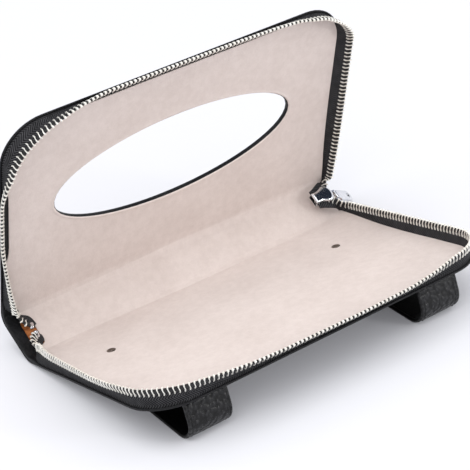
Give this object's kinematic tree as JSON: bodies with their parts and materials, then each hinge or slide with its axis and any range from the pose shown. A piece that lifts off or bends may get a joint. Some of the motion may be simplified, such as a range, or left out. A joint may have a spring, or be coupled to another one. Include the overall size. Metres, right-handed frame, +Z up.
{
  "type": "car tissue holder",
  "caption": "Zip-around leather case with an oval tissue opening, standing open on two strap loops that hold it on a sun visor.",
  "frame": {"origin": "middle of the bottom of the outer box of the open case as it stands on its straps and the fold of its base", "axes": "+X along the spine towards the slider, -Y towards the free edge of the base panel, +Z up"},
  "size_m": [0.2556, 0.169, 0.1574],
  "materials": {
    "panel_leather": "pebbled black leather",
    "strap_leather": "pebbled black leather, stitched",
    "suede_lining": "brushed suede cloth, warm grey",
    "orange_board": "dyed fibre board, matt",
    "grey_board": "fibre board, matt",
    "zip_tape": "woven black tape",
    "zip_teeth": "polished pale nickel plate",
    "bright_nickel": "polished nickel plate",
    "stud_metal": "dark gunmetal plate"
  },
  "bodies": {
    "base": {"base_leather": "panel_leather", "base_board": "grey_board", "base_lining": "suede_lining", "zip_tape_base": "zip_tape", "zip_teeth_base": "zip_teeth", "strap_anchor_left": "strap_leather", "stud_post_left": "stud_metal", "stud_nose_left": "stud_metal", "strap_anchor_right": "strap_leather", "stud_post_right": "stud_metal", "stud_nose_right": "stud_metal"},
    "strap_left": {"strap_loop_left": "strap_leather", "stud_socket_left": "stud_metal", "stud_cap_left": "stud_metal"},
    "strap_right": {"strap_loop_right": "strap_leather", "stud_socket_right": "stud_metal", "stud_cap_right": "stud_metal"},
    "spine": {"spine_leather": "panel_leather", "spine_board": "orange_board", "spine_lining": "suede_lining", "tape_tail_left_lower": "zip_tape", "teeth_tail_left_lower": "zip_teeth", "tape_tail_left_upper": "zip_tape", "teeth_tail_left_upper": "zip_teeth", "tape_tail_right_lower": "zip_tape", "teeth_tail_right_lower": "zip_teeth", "tape_tail_right_upper": "zip_tape", "teeth_tail_right_upper": "zip_teeth", "top_stop_lower": "bright_nickel", "top_stop_upper": "bright_nickel", "slider_body": "bright_nickel"},
    "cover": {"cover_leather": "panel_leather", "cover_board": "grey_board", "cover_lining": "suede_lining", "zip_tape_cover": "zip_tape", "zip_teeth_cover": "zip_teeth"},
    "bail": {"pull_bail": "bright_nickel"},
    "tab": {"pull_tab": "bright_nickel"}
  },
  "joints": [
    {"name": "strap_left_swing", "type": "hinge", "parent": "base", "child": "strap_left", "pos_m": [-0.00886, -0.07398, 0.02203], "axis": [-1, 0, 0], "range_deg": [0, 110]},
    {"name": "strap_right_swing", "type": "hinge", "parent": "base", "child": "strap_right", "pos_m": [-0.00886, -0.07398, 0.02203], "axis": [-1, 0, 0], "range_deg": [0, 110]},
    {"name": "spine_fold", "type": "hinge", "parent": "base", "child": "spine", "pos_m": [-0.00886, 0.05896, 0.00269], "axis": [1, 0, 0], "range_deg": [-46, 44]},
    {"name": "cover_fold", "type": "hinge", "parent": "spine", "child": "cover", "pos_m": [-0.00886, 0.08198, 0.01862], "axis": [1, 0, 0], "range_deg": [-72, 20]},
    {"name": "bail_swing", "type": "hinge", "parent": "spine", "child": "bail", "pos_m": [0.09854, 0.06839, 0.01366], "axis": [0, 0.8222, 0.5692], "range_deg": [-17, 8]},
    {"name": "tab_swing", "type": "hinge", "parent": "bail", "child": "tab", "pos_m": [0.11125, 0.06993, 0.01144], "axis": [0, 0.8222, 0.5692], "range_deg": [-60, 50]}
  ]
}
